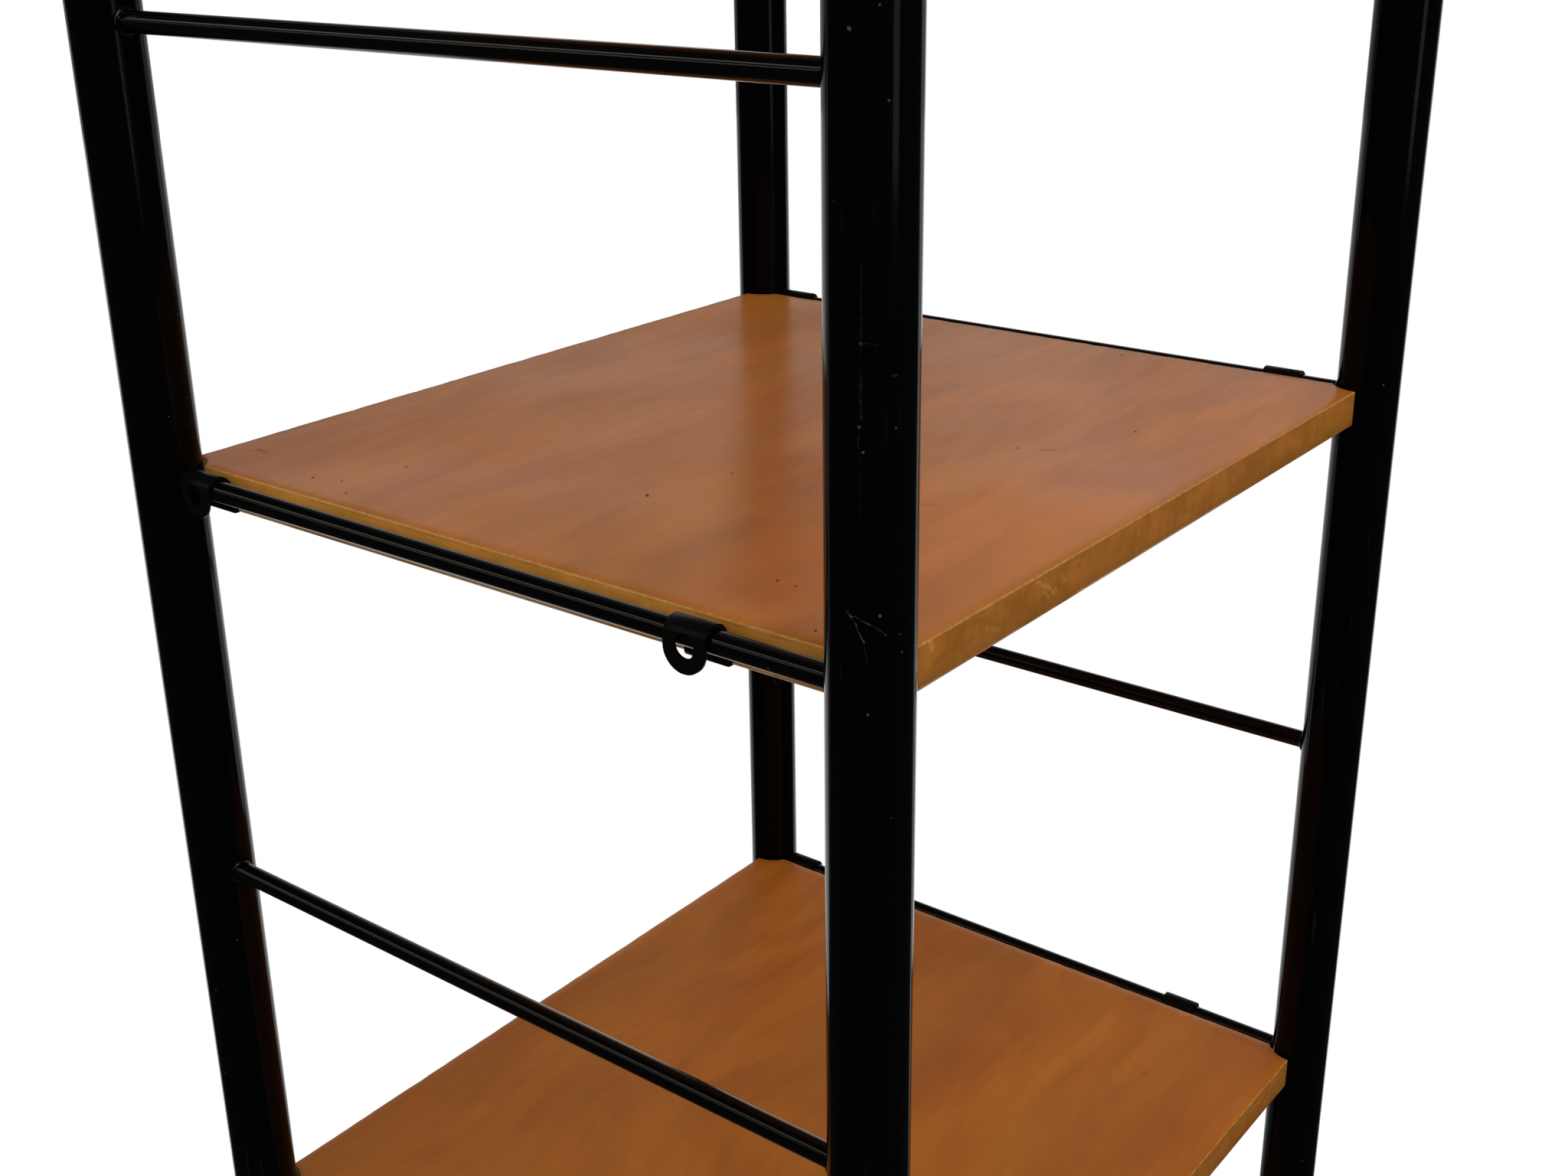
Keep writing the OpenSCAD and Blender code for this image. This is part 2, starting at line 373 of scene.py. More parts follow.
def stroke(tree, place, start, end, width, strength):
    """Mask of one stroke with soft edges."""
    distance = use_group(tree, STROKE, {"Vector": place, "From": start, "To": end})["Distance"]
    return fade(tree, distance, MARK_START * width, MARK_FULL * width, 0.0, strength)


def ruffled(tree, place, reach):
    """The place moved a little to and fro, so that no stroke has a straight side."""
    to_and_fro = add(tree, "ShaderNodeTexNoise", {"Vector": place, "Scale": RUFFLE_SCALE, "Detail": 1.0})
    centred = vector_calc(tree, "SUBTRACT", to_and_fro.outputs["Color"], (0.5, 0.5, 0.5))
    return vector_calc(tree, "ADD", place, vector_calc(tree, "MULTIPLY", centred, (reach, reach, reach)))


def post_marks(tree, place):
    """Masks of the strokes and chips on the front left post."""
    on_post = add(tree, "ShaderNodeMapping", {
        "Vector": place, "Location": (-POST_X, -POST_Y, 0), "Rotation": (0, 0, SCRATCH_SIDE)},
        vector_type="TEXTURE").outputs["Vector"]
    flat = vector_calc(tree, "MULTIPLY", ruffled(tree, on_post, POST_RUFFLE), (0, 1, 1))
    broken = fade(tree, grain_noise(tree, on_post, BREAK_SCALE, 2.0), 0.36, 0.62, 0.15, 1.0)
    towards_us = add(tree, "ShaderNodeSeparateXYZ", {0: on_post}).outputs["X"]
    from_axis = vector_calc(tree, "LENGTH", vector_calc(tree, "MULTIPLY", on_post, (1, 1, 0)))
    shown = times(tree, calc(tree, "GREATER_THAN", towards_us, 0.0),
                  fade(tree, from_axis, 2 * POST_R, 1.5 * POST_R))
    masks = []
    for first, second, width, strength in POST_STROKES:
        start, end = [(0, across * MM, height * MM) for across, height in (first, second)]
        masks.append(times(tree, stroke(tree, flat, start, end, width * MM, strength), broken))
    for across, height, radius, strength in POST_CHIPS:
        distance = gap(tree, flat, (0, across * MM, height * MM))
        masks.append(fade(tree, distance, radius * MM, MARK_FULL * radius * MM, 0.0, strength))
    return [times(tree, mask, shown) for mask in masks]


POST_ENAMEL = black_enamel("post enamel", 0.08, (420, 420, 22), 0.07, 0.13, post_marks)
RUNG_ENAMEL = black_enamel("rung enamel", 0.25, (420, 22, 420), 0.09, 0.15)
print("enamels:", POST_ENAMEL.name, RUNG_ENAMEL.name)

# %% [markdown]
# ## Matt black of the clips, zinc of the screws, and moulded plastic
#
# The clips were dipped in a flatter black, so their arches carry a soft grey sheen where the rungs carry
# a line. The screws are zinc plated. The caps and glides are moulded, with the fine dull grain that a
# mould leaves.


# %% The small finishes
def small_finish(name, colours, roughness, peel, plain, dulled_by="Patches", mark=None):
    """An uneven colour and gloss. plain holds what is the same all over. mark is a group whose mask lets
    grey through, with its inputs and how much it lets through."""
    material, tree, shader = new_material(name)
    place = object_place(tree)
    film = use_group(tree, UNEVEN, {"Vector": place})
    colour = tint(tree, film["Patches"], *colours)
    if mark:
        group, inputs, strength = mark
        mask = use_group(tree, group, {"Vector": place, **inputs})["Mask"]
        colour = tint(tree, times(tree, mask, strength), colour, BARE_GREY)
    gloss = fade(tree, film[dulled_by], *MOST, *roughness)
    connect(tree, shader, {"Base Color": colour, "Roughness": gloss, **plain})
    bump(tree, shader, film["Peel"], peel)
    return material


CLIP_BLACK = small_finish(
    "clip black", ((0.0012, 0.0013, 0.0013, 1), (0.0022, 0.0023, 0.0023, 1)), (0.3, 0.42), 0.02 * MM,
    {"Specular IOR Level": 0.08}, mark=(RUBS, {"Stretch": (500, 30, 500)}, 0.12))
SCREW_ZINC = small_finish(
    "screw zinc", ((0.42, 0.42, 0.43, 1), (0.6, 0.6, 0.58, 1)), (0.32, 0.45), 0.02 * MM,
    {"Metallic": 1.0}, dulled_by="Peel")
MOULDED_BLACK = small_finish(
    "moulded black", ((0.006, 0.006, 0.0065, 1), (0.009, 0.009, 0.0095, 1)), (0.5, 0.62), 0.05 * MM,
    {"Specular IOR Level": 0.2}, mark=(SPECKS, {"Cells": 120.0, "Share": 0.4, "Size": 0.4 * MM}, 0.3))
print("small finishes:", CLIP_BLACK.name, SCREW_ZINC.name, MOULDED_BLACK.name)

# %% [markdown]
# ## Veneer
#
# The boards are faced with a red-brown veneer whose grain runs from left to right. Its figure is quiet:
# broad soft bands that wander a little, growth rings that brighten slowly and end in a darker step, fine
# pale lines, short fibres, and a slow change of hue from orange to olive. One group makes these from
# noise that is stretched along the grain. The rings are level lines of such noise, so they close in long
# loops as a cut through a trunk does. The satin lacquer on top is the shader's coat. It mirrors the pale
# backdrop where a board is seen at a low angle, and the black posts beside it. It has worn unevenly, so
# its weight changes over the board.


# %% The figure of the wood
# For each noise: how often it repeats in a metre along the grain and across it, detail and distortion
GRAIN = {"broad": (6.0, 16.0, 3.0, 0.9), "narrow": (16.0, 62.0, 2.0, 0.7), "growth": (2.4, 17.0, 2.0, 0.3),
         "lines": (11.0, 240.0, 2.0, 0.2), "fibres": (90.0, 640.0, 3.0, 0.2), "hue": (5.0, 11.0, 2.0, 1.0)}
# How often the grain wanders to the side in a metre, and how far
SWAY_SCALE, SWAY = 5.0, 0.06
# Rings from the lowest to the highest growth noise, and where in a ring the slow rise and quick fall end
RINGS, RING_RISE, RING_FALL = 8.0, (0.0, 0.85), (1.0, 0.9)
BROAD_SHARE, NARROW_SHARE = 0.85, 0.15


def figure_group():
    """Bands, rings, lines, fibres and hue of wood whose grain runs along the first axis of Vector."""
    group, entry, leave = new_group("wood figure", [("Vector", VECTOR, (0, 0, 0))],
                                    ["Bands", "Rings", "Lines", "Fibres", "Hue"])
    sway = grain_noise(group, entry.outputs["Vector"], SWAY_SCALE, 1.0)
    shift = add(group, "ShaderNodeCombineXYZ", {"Y": times(group, sway, SWAY)}).outputs["Vector"]
    place = vector_calc(group, "ADD", entry.outputs["Vector"], shift)
    grain = {}
    for name, (along, across, detail, distortion) in GRAIN.items():
        grain[name] = grain_noise(group, place, 1.0, detail, (along, across, across), distortion)
    ring = calc(group, "FRACT", times(group, grain["growth"], RINGS))
    connect(group, leave, {
        "Bands": calc(group, "ADD", times(group, grain["broad"], BROAD_SHARE),
                      times(group, grain["narrow"], NARROW_SHARE)),
        "Rings": times(group, fade(group, ring, *RING_RISE), fade(group, ring, *RING_FALL)),
        "Lines": fade(group, grain["lines"], *MOST),
        "Fibres": fade(group, grain["fibres"], *MOST),
        "Hue": grain["hue"]})
    return group


FIGURE = figure_group()


def shade(tree, colour, factor):
    """Multiplies a colour by a number."""
    grey = add(tree, "ShaderNodeCombineColor", {"Red": factor, "Green": factor, "Blue": factor})
    return tint(tree, 1.0, colour, grey.outputs["Color"], "MULTIPLY")


# %% [markdown]
# ## Small dark pits and dents
#
# Here and there a knot as small as a pinhead has stayed dark under the lacquer, and a hard corner has
# left a short dent. The board at eye level shows them best, so they are placed as they lie there, and
# specks stand for more of them on every board. The pits are drawn out askew to the grain, so their places
# are turned and squeezed before the distance to each is measured. A darker patch with less lacquer beside
# the front left post is a painted shadow of that post.

# %% Pits and dents on the board at eye level
EYE_LEVEL_SHELF = 4
# Right of the middle, behind the middle and the radius, in millimetres
PITS = [(-128.1, -12.1, 1.2), (-82.8, -23.0, 0.8), (24.4, -108.5, 0.7), (79.5, -141.3, 0.9),
        (-174.9, -120.8, 0.85), (-175.7, -130.2, 0.7), (-205.9, -162.2, 0.8), (-162.4, 105.8, 0.85),
        (-209.3, 191.5, 0.7), (-197.8, 128.8, 0.85), (-193.4, 114.1, 0.7), (-203.2, 99.3, 0.7)]
# The knife that peeled the veneer ran askew to the grain and drew each pit out that way
KNIFE_WAY, PIT_STRETCH = math.radians(38), 2.2
# Share of its radius where a pit is darkest, and how dark it is there
PIT_CORE, PIT_DARK = 0.35, 0.95
PIT_BROWN = (0.085, 0.01, 0.0005, 1)
# Start, end, half the width and the strength
DENTS = [((89.9, -50.3), (92.5, -54.0), 1.6, 0.2), ((29.3, -120.2), (32.4, -124.5), 1.6, 0.24),
         ((-68.5, -117.6), (-65.8, -121.3), 1.6, 0.2), ((-189.6, 186.1), (-185.1, 184.0), 0.9, 0.35),
         ((-185.1, 184.0), (-186.2, 176.9), 0.9, 0.4)]
DENT_RUFFLE = 1.5 * MM
# The painted shadow of the front left post, what it multiplies the colour by, and what it leaves of the
# lacquer
POST_SHADOW = ((-60, -40), (-176, -124), 30, 1.0)
POST_SHADOW_TINT, POST_SHADOW_COAT = (0.82, 0.74, 0.68, 1), 0.8
EYE_LEVEL_TOP = rung_z(EYE_LEVEL_SHELF) + BOARD_TOP


def top_mark(tree, place, mark):
    """Mask of one soft stroke on top of the board at eye level."""
    first, second, width, strength = mark
    start, end = [(x * MM, y * MM, EYE_LEVEL_TOP) for x, y in (first, second)]
    return stroke(tree, place, start, end, width * MM, strength)


def pit_marks(tree, place):
    """Masks of the pits and dents."""
    rough = ruffled(tree, place, DENT_RUFFLE)
    knife = add(tree, "ShaderNodeMapping", {
        "Vector": place, "Rotation": (0, 0, KNIFE_WAY), "Scale": (PIT_STRETCH, 1, 1)},
        vector_type="TEXTURE").outputs["Vector"]
    masks = []
    for x, y, radius in PITS:
        spot = Matrix.Rotation(-KNIFE_WAY, 3, "Z") @ Vector((x * MM, y * MM, EYE_LEVEL_TOP))
        spot.x /= PIT_STRETCH
        distance = gap(tree, knife, tuple(spot))
        masks.append(fade(tree, distance, radius * MM, PIT_CORE * radius * MM, 0.0, PIT_DARK))
    return masks + [top_mark(tree, rough, dent) for dent in DENTS]


# %% [markdown]
# ## The finish of a board's faces
#
# The colour starts from the bands and turns a little to olive in places. The boards below eye level are
# multiplied by a painted shade, for the shade of the boards above them. The figure, the specks, the painted
# shadow of the front left post and the pits follow. The lacquer's weight goes down where it is worn, less
# under the painted shadow, and to nothing in a pit.

# %% The veneer
BAND_DARK, BAND_LIGHT = (0.263, 0.0765, 0.0105, 1), (0.339, 0.105, 0.0136, 1)
OLIVE, OLIVE_MOST = (0.27, 0.1, 0.015, 1), 0.35
# Below this height the boards are multiplied by a painted shade, for the shade of the boards above them
SHADE_BELOW, SHADE_FADE = 1.2, 0.1
LOWER_SHADE = (0.93, 0.9, 0.84, 1)
# How dark and how pale each part of the figure makes the colour
FIGURE_DEPTH = {"Rings": (0.965, 1.03), "Lines": (0.988, 1.012), "Fibres": (0.975, 1.025)}
# The lacquer's weight where it is most worn and where it is whole, and how much it misses the fibres
COAT_WEIGHT, COAT_FIBRES = (0.27, 0.43), 0.06
PORE_DEPTH = 0.004 * MM


def veneer_material():
    """Veneer with its figure, its marks, its painted shade and shadow, and its worn lacquer."""
    material, tree, shader = new_material("veneer")
    place = object_place(tree)
    figure = use_group(tree, FIGURE, {"Vector": place})
    film = use_group(tree, UNEVEN, {"Vector": place})
    colour = tint(tree, fade(tree, figure["Bands"], 0.34, 0.66), BAND_DARK, BAND_LIGHT)
    colour = tint(tree, fade(tree, figure["Hue"], 0.38, 0.68, 0.0, OLIVE_MOST), colour, OLIVE)
    # Painted shade: the boards below eye level are darker, as the boards above shade them
    height = add(tree, "ShaderNodeSeparateXYZ", {0: place}).outputs["Z"]
    below = fade(tree, height, SHADE_BELOW + SHADE_FADE, SHADE_BELOW)
    colour = tint(tree, below, colour, LOWER_SHADE, "MULTIPLY")
    for name, (low, high) in FIGURE_DEPTH.items():
        factor = add(tree, "ShaderNodeMapRange", {"Value": figure[name], "To Min": low, "To Max": high})
        colour = shade(tree, colour, factor.outputs["Result"])
    specks = use_group(tree, SPECKS, {"Vector": place, "Cells": 30.0, "Share": 0.5, "Size": 0.9 * MM})
    # Painted shadow of the front left post: it darkens the colour and thins the lacquer
    shadow_mask = top_mark(tree, place, POST_SHADOW)
    colour = tint(tree, shadow_mask, colour, POST_SHADOW_TINT, "MULTIPLY")
    kept = fade(tree, shadow_mask, 0.0, 1.0, 1.0, POST_SHADOW_COAT)
    for mark in [specks["Mask"]] + pit_marks(tree, place):
        colour = tint(tree, mark, colour, PIT_BROWN)
        kept = times(tree, kept, calc(tree, "SUBTRACT", 1.0, mark))
    uneven = calc(tree, "ADD", film["Patches"], times(tree, figure["Fibres"], COAT_FIBRES))
    connect(tree, shader, {
        "Base Color": colour,
        "Roughness": fade(tree, figure["Lines"], 0.0, 1.0, 0.42, 0.56),
        "Specular IOR Level": 0.02,
        "Coat Weight": times(tree, fade(tree, uneven, 0.33, 0.73, *COAT_WEIGHT), kept),
        "Coat Roughness": 0.24})
    bump(tree, shader, figure["Fibres"], PORE_DEPTH)
    return material


VENEER = veneer_material()
print("veneer:", VENEER.name, "with", len(PITS), "pits and", len(DENTS), "dents")

# %% [markdown]
# ## Edges of the boards
#
# Strips of a yellower wood close the edges. On the long edges the grain stands upright, so they are brown
# with short upright flecks, and on the ends it runs along the edge, ochre and smooth. The upper arris is
# rubbed pale in places, the glue line under the face veneer shows as a thin dark line here and there, the
# lower part is darkened by a painted shade, and the lower arris is chipped in places. These bands follow
# the thickness of the board, so each board carries an attribute called across, which is 0 on its underside
# and 1 on its top.


# %% The edge strips
# On the front edge at eye level: start and end, right of the middle and above the underside, in
# millimetres, then half the width and the strength
WISPS = [((-112.8, 15.7), (-98.0, 7.0), 1.3, 0.24), ((-108.0, 10.0), (-103.0, 6.0), 1.0, 0.18),
         ((-94.0, 13.0), (-90.5, 9.5), 0.8, 0.18), ((-150.0, 9.0), (-141.0, 5.5), 1.2, 0.15),
         ((-188.5, 17.5), (-186.5, 14.0), 1.4, 0.35), ((-30.0, 12.0), (-27.0, 8.0), 1.0, 0.12),
         ((62.0, 11.0), (66.0, 6.5), 1.0, 0.12)]
KNOTS = [((-80.5, 12.5), (-78.3, 11.2), 0.9, 0.5), ((-77.5, 10.0), (-76.3, 8.8), 0.6, 0.35)]
EYE_LEVEL_LOW = rung_z(EYE_LEVEL_SHELF) + BOARD_LOW
EDGE_RUFFLE = 2.4 * MM
WISP_PALE, KNOT_BROWN = (0.42, 0.24, 0.08, 1), (0.09, 0.024, 0.004, 1)
GLUE_BROWN, RUBBED_PALE = (0.1, 0.035, 0.006, 1), (0.56, 0.35, 0.13, 1)
# The first colour on the next line is a painted shade for the lower part of each edge
LOW_SHADE_BROWN, CHIPPED_PALE = (0.13, 0.05, 0.011, 1), (0.4, 0.34, 0.25, 1)
# Where each band starts and is full, from 0 on the underside to 1 on the top, and how far they wander
GLUE_LOWER, GLUE_UPPER, RUBBED_BAND = (0.893, 0.905), (0.935, 0.92), (0.94, 0.985)
LOW_SHADE_BAND, CHIPPED_BAND, BAND_WANDER = (0.3, 0.1), (0.07, 0.03), 0.03
CHIPPED_MOST = 0.45
EDGE_GRAIN_DEPTH = 0.01 * MM


def edge_marks(tree, place, marks):
    """The strongest of the marks on the front edge of the board at eye level, broken up by noise."""
    broken = fade(tree, grain_noise(tree, place, 700.0, 2.0), 0.38, 0.62, 0.25, 1.0)
    rough = ruffled(tree, place, EDGE_RUFFLE)
    total = 0.0
    for first, second, width, strength in marks:
        start, end = [(x * MM, -BOARD_SIZE.y / 2, EYE_LEVEL_LOW + z * MM) for x, z in (first, second)]
        total = calc(tree, "MAXIMUM", total, stroke(tree, rough, start, end, width * MM, strength))
    return times(tree, total, broken)


def edge_material(name, turn, flecks, dark, light, olive, rub, glue_line, low_shade):
    """An edge strip whose grain is turned about Z to run along the edge. flecks stretches its flecks. rub,
    glue_line and the last argument say how strongly the rubbed arris, the glue line and the painted shade
    on the lower part show."""
    material, tree, shader = new_material(name)
    place = object_place(tree)
    along = add(tree, "ShaderNodeMapping", {"Vector": place, "Rotation": (0, 0, turn)}).outputs["Vector"]
    film = use_group(tree, UNEVEN, {"Vector": place})
    patches = grain_noise(tree, along, 1.0, 3.0, (38.0, 38.0, 80.0), 1.0)
    colour = tint(tree, fade(tree, patches, *MOST), dark, light)
    hue = grain_noise(tree, along, 1.0, 2.0, (22.0, 22.0, 90.0), 0.6)
    colour = tint(tree, fade(tree, hue, 0.42, 0.64, 0.0, OLIVE_MOST), colour, olive)
    fleck = grain_noise(tree, along, 1.0, 4.0, flecks, 1.0)
    colour = shade(tree, colour, fade(tree, fleck, *MOST, 0.93, 1.07))
    across = add(tree, "ShaderNodeAttribute", attribute_name="across").outputs["Fac"]
    ruffle = calc(tree, "SUBTRACT", grain_noise(tree, place, RUFFLE_SCALE, 2.0), 0.5)
    level_in = calc(tree, "ADD", across, times(tree, ruffle, BAND_WANDER))
    glued = times(tree, fade(tree, level_in, *GLUE_LOWER), fade(tree, level_in, *GLUE_UPPER))
    broken = fade(tree, grain_noise(tree, place, 90.0, 4.0), 0.4, 0.66)
    touched = fade(tree, grain_noise(tree, place, 320.0, 3.0), 0.38, 0.64, 0.4, 1.0)
    knocked = fade(tree, grain_noise(tree, place, 22.0, 3.0), 0.44, 0.6)
    for mask, mark_colour in (
            (edge_marks(tree, place, WISPS), WISP_PALE),
            (edge_marks(tree, place, KNOTS), KNOT_BROWN),
            (times(tree, times(tree, glued, broken), glue_line), GLUE_BROWN),
            (times(tree, fade(tree, level_in, *RUBBED_BAND, 0.0, rub), touched), RUBBED_PALE),
            # Painted shade: the lower part of the edge is darker
            (fade(tree, level_in, *LOW_SHADE_BAND, 0.0, low_shade), LOW_SHADE_BROWN),
            (times(tree, fade(tree, level_in, *CHIPPED_BAND, 0.0, CHIPPED_MOST), knocked), CHIPPED_PALE)):
        colour = tint(tree, mask, colour, mark_colour)
    connect(tree, shader, {
        "Base Color": colour,
        "Roughness": fade(tree, film["Patches"], *MOST, 0.4, 0.52),
        "Specular IOR Level": 0.015})
    bump(tree, shader, fleck, EDGE_GRAIN_DEPTH)
    return material


def core_material():
    """Pressed chips, seen where the underside is cut for the clips."""
    material, tree, shader = new_material("board core")
    chips = add(tree, "ShaderNodeTexVoronoi", {"Vector": object_place(tree), "Scale": 420.0})
    distance = chips.outputs["Distance"]
    colour = tint(tree, distance, (0.3, 0.19, 0.09, 1), (0.16, 0.09, 0.035, 1))
    connect(tree, shader, {"Base Color": colour, "Roughness": 0.85, "Specular IOR Level": 0.2})
    bump(tree, shader, distance, 0.15 * MM)
    return material


LONG_EDGE = edge_material(
    "long edge", 0.0, (300, 300, 45), dark=(0.163, 0.056, 0.0078, 1), light=(0.21, 0.075, 0.0118, 1),
    olive=(0.157, 0.065, 0.0095, 1), rub=0.35, glue_line=0.2, low_shade=0.35)
SHORT_EDGE = edge_material(
    "short edge", math.pi / 2, (26, 300, 420), dark=(0.37, 0.148, 0.026, 1), light=(0.47, 0.205, 0.038, 1),
    olive=(0.4, 0.185, 0.032, 1), rub=0.6, glue_line=0.5, low_shade=0.75)
CORE = core_material()
print("edges:", LONG_EDGE.name, SHORT_EDGE.name, CORE.name)

# %% [markdown]
# ## Short names for modelling
#
# An operator acts on what is selected, so each helper first deselects everything. Faces and edges are
# chosen by their place or their normal, because no hand can click them here. A piece is modelled once and
# copied, and each copy gets its own mesh with its place in it.


# %% Modelling helpers
def only(thing):
    """Selects one object and makes it the active one."""
    bpy.ops.object.select_all(action="DESELECT")
    thing.select_set(True)
    bpy.context.view_layer.objects.active = thing


def edit(thing, mode="VERT"):
    """Goes into edit mode on one object."""
    only(thing)
    bpy.ops.object.mode_set(mode="EDIT")
    bpy.ops.mesh.select_mode(type=mode)


def pick(thing, test, kind="verts"):
    """In edit mode, selects the vertices, edges or faces that pass a test."""
    bpy.ops.mesh.select_all(action="DESELECT")
    mesh = bmesh.from_edit_mesh(thing.data)
    for item in getattr(mesh, kind):
        if test(item):
            item.select_set(True)
    mesh.select_flush_mode()
    bmesh.update_edit_mesh(thing.data)


def extrude(move):
    """Draws out what is selected, and leaves the new part selected."""
    bpy.ops.mesh.extrude_region_move(TRANSFORM_OT_translate={"value": move})


def bake_place(thing):
    """Puts an object's place, turn and scale into its mesh."""
    only(thing)
    bpy.ops.object.transform_apply(location=True, rotation=True, scale=True)


def apply(thing, kind, **settings):
    """Adds a modifier and applies it."""
    only(thing)
    modifier = thing.modifiers.new(kind.title(), kind)
    for name, value in settings.items():
        setattr(modifier, name, value)
    bpy.ops.object.modifier_apply(modifier=modifier.name)


def cut_away(thing, cutters):
    """Joins the cutters, which don't touch each other, and takes them out of thing."""
    only(cutters[0])
    for cutter in cutters:
        cutter.select_set(True)
    if len(cutters) > 1:
        bpy.ops.object.join()
    cutter = bpy.context.object
    apply(thing, "BOOLEAN", object=cutter, operation="DIFFERENCE", solver="EXACT")
    bpy.data.objects.remove(cutter)


def rod(radius, length, place, turn=(0, 0, 0), sides=64):
    """A plain rod to cut with."""
    bpy.ops.object.select_all(action="DESELECT")
    bpy.ops.mesh.primitive_cylinder_add(
        vertices=sides, radius=radius, depth=length, location=place, rotation=turn)
    bake_place(bpy.context.object)
    return bpy.context.object


def block(size, place):
    """A plain block to cut with."""
    bpy.ops.object.select_all(action="DESELECT")
    bpy.ops.mesh.primitive_cube_add(size=1, location=place)
    bpy.context.object.scale = size
    bake_place(bpy.context.object)
    return bpy.context.object


def smooth(thing, degrees=32):
    """Smooth shading, with a crease wherever faces meet at more than this angle."""
    only(thing)
    bpy.ops.object.shade_smooth_by_angle(angle=math.radians(degrees))


def turned(name, profile, sides, fill=True):
    """A turned piece about Z: a ring is drawn out and resized from one (height, radius) to the next."""
    bpy.ops.object.select_all(action="DESELECT")
    height, radius = profile[0]
    bpy.ops.mesh.primitive_circle_add(vertices=sides, radius=radius, location=(0, 0, height))
    piece = bpy.context.object
    piece.name = name
    bake_place(piece)
    edit(piece)
    bpy.ops.mesh.select_all(action="SELECT")
    if fill:
        bpy.ops.mesh.edge_face_add()
        bpy.ops.mesh.duplicate()
        bpy.ops.mesh.delete(type="ONLY_FACE")
        pick(piece, lambda v: not v.link_faces)
    for new_height, new_radius in profile[1:]:
        extrude((0, 0, new_height - height))
        factor = new_radius / radius
        bpy.ops.transform.resize(value=(factor, factor, 1), center_override=(0, 0, new_height))
        height, radius = new_height, new_radius
    if fill:
        bpy.ops.mesh.edge_face_add()
    bpy.ops.mesh.select_all(action="SELECT")
    bpy.ops.mesh.remove_doubles(threshold=0.002 * MM)
    bpy.ops.mesh.normals_make_consistent(inside=False)
    bpy.ops.object.mode_set(mode="OBJECT")
    return piece


def copy_of(pattern, name, move, turn=0.0):
    """A copy with its own mesh, turned about Z and moved in its mesh."""
    twin = pattern.copy()
    twin.data = pattern.data.copy()
    twin.name = name
    twin.data.transform(Matrix.Translation(move) @ Matrix.Rotation(turn, 4, "Z"))
    scene.collection.objects.link(twin)
    return twin


def at_post(pattern, name, corner, height=0.0):
    """A copy moved up by a height, on the axis of the post at this corner."""
    side, end = CORNERS[corner]
    return copy_of(pattern, name, (side * POST_X, end * POST_Y, height))


def at_clip(pattern, name, shelf, corner):
    """A copy placed and turned as the clip at this corner of a shelf."""
    side = CORNERS[corner][0]
    place = (side * POST_X, middle(f"shelf_{shelf}_clip_{corner}").y, rung_z(shelf))
    return copy_of(pattern, name, place, math.pi if side > 0 else 0.0)


def dress(piece, node, body, slot, *materials):
    """Gives a finished piece its materials and its body, and hides the node that it stands for. slot is not
    used.
    """
    for material in materials:
        piece.data.materials.append(material)
    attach(piece, body)
    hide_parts(node)


def discard(*patterns):
    """Removes the patterns, which aren't part of the object."""
    for pattern in patterns:
        bpy.data.objects.remove(pattern)


print("modelling helpers ready")

# %% [markdown]
# ## Posts
#
# A post is a drawn steel tube, open at both ends, with the burr taken off its rims. It is made as on a
# lathe: a ring is drawn out along the outside, in over the rim and back down the bore. Many sides keep
# the thin highlights along it clean.

# %% Make the posts
RIM = 0.3 * MM
POST_SIDES = 128


def make_tube():
    """A tube on the Z axis, from the top of the glides to the caps."""
    bottom, height = post_low.z, post_high.z - post_low.z
    inner = POST_R - TUBE_WALL
    profile = [(RIM, POST_R), (height - RIM, POST_R), (height, POST_R - RIM), (height, inner + RIM),
               (height - RIM, inner), (RIM, inner), (0, inner + RIM), (0, POST_R - RIM), (RIM, POST_R)]
    tube = turned("tube", profile, POST_SIDES, fill=False)
    smooth(tube)
    tube.data.transform(Matrix.Translation((0, 0, bottom)))
    return tube


tube = make_tube()
for corner in CORNERS:
    post = at_post(tube, f"post_tube_{corner}", corner)
    dress(post, f"post_{corner}", "frames", "post_enamel", POST_ENAMEL)
discard(tube)
print("posts:", len(CORNERS), "of", len(post.data.polygons), "faces")

# %% [markdown]
# ## Rungs
#
# A rung is a rod between two posts, with a small weld round each end. The rod is drawn out station by
# station, so the weld is part of the same skin and flows into it. Noise then moves the rings of the weld
# a little, as the weld pool froze in ripples, and the ends are cut to the round of the posts.

# %% Make the rungs
RUNG_SIDES = 48
WELD_STEPS = 6
# How far noise moves the weld, how often it repeats in a metre, and how far out from the rod it starts
WELD_RIPPLE, RIPPLE_SCALE, RIPPLE_START = 0.12 * MM, 900, 0.05 * MM
# How far the round cut of an end lies inside the post's skin
SINK = 0.05 * MM


